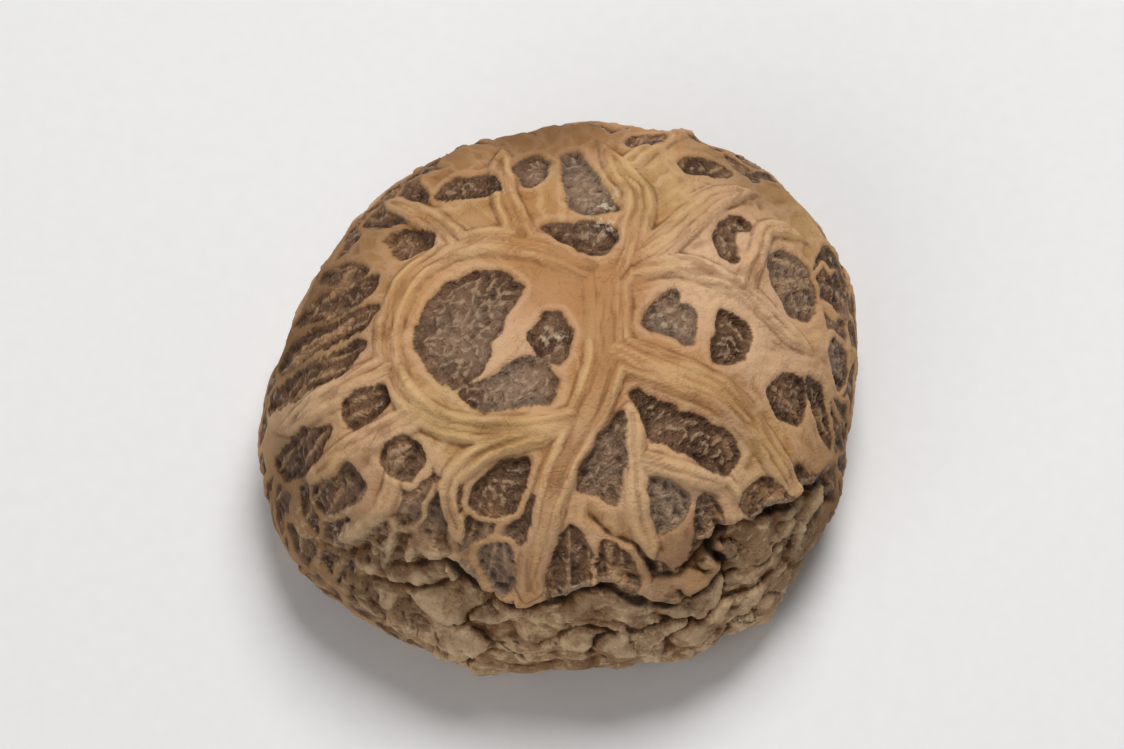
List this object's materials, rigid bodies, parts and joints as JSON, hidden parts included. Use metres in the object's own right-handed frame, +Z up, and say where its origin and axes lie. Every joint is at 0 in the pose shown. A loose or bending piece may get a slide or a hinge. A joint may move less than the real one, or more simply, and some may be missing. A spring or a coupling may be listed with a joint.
{
  "type": "dried flower shiitake mushroom",
  "caption": "Dried shiitake mushroom with a thick domed cap cracked into dark scales and pale ridges, a curled rim, gills and a short cut stem; rests on its rim.",
  "frame": {"origin": "on the surface that the rim rests on, below the middle of the cap's bounding box", "axes": "+Z up through the crown, -Y the front of the cap, +X to its right"},
  "size_m": [0.0524, 0.0506, 0.027],
  "materials": {
    "cap_skin": "dry, cracked: pale tan ridges round dark brown wrinkled scales",
    "gill_cream": "matt, thin papery blades",
    "stem_fibre": "matt, fibrous, furrowed along its length"
  },
  "bodies": {
    "root": {"cap": "cap_skin", "gills": "gill_cream", "stem": "stem_fibre"}
  },
  "joints": []
}
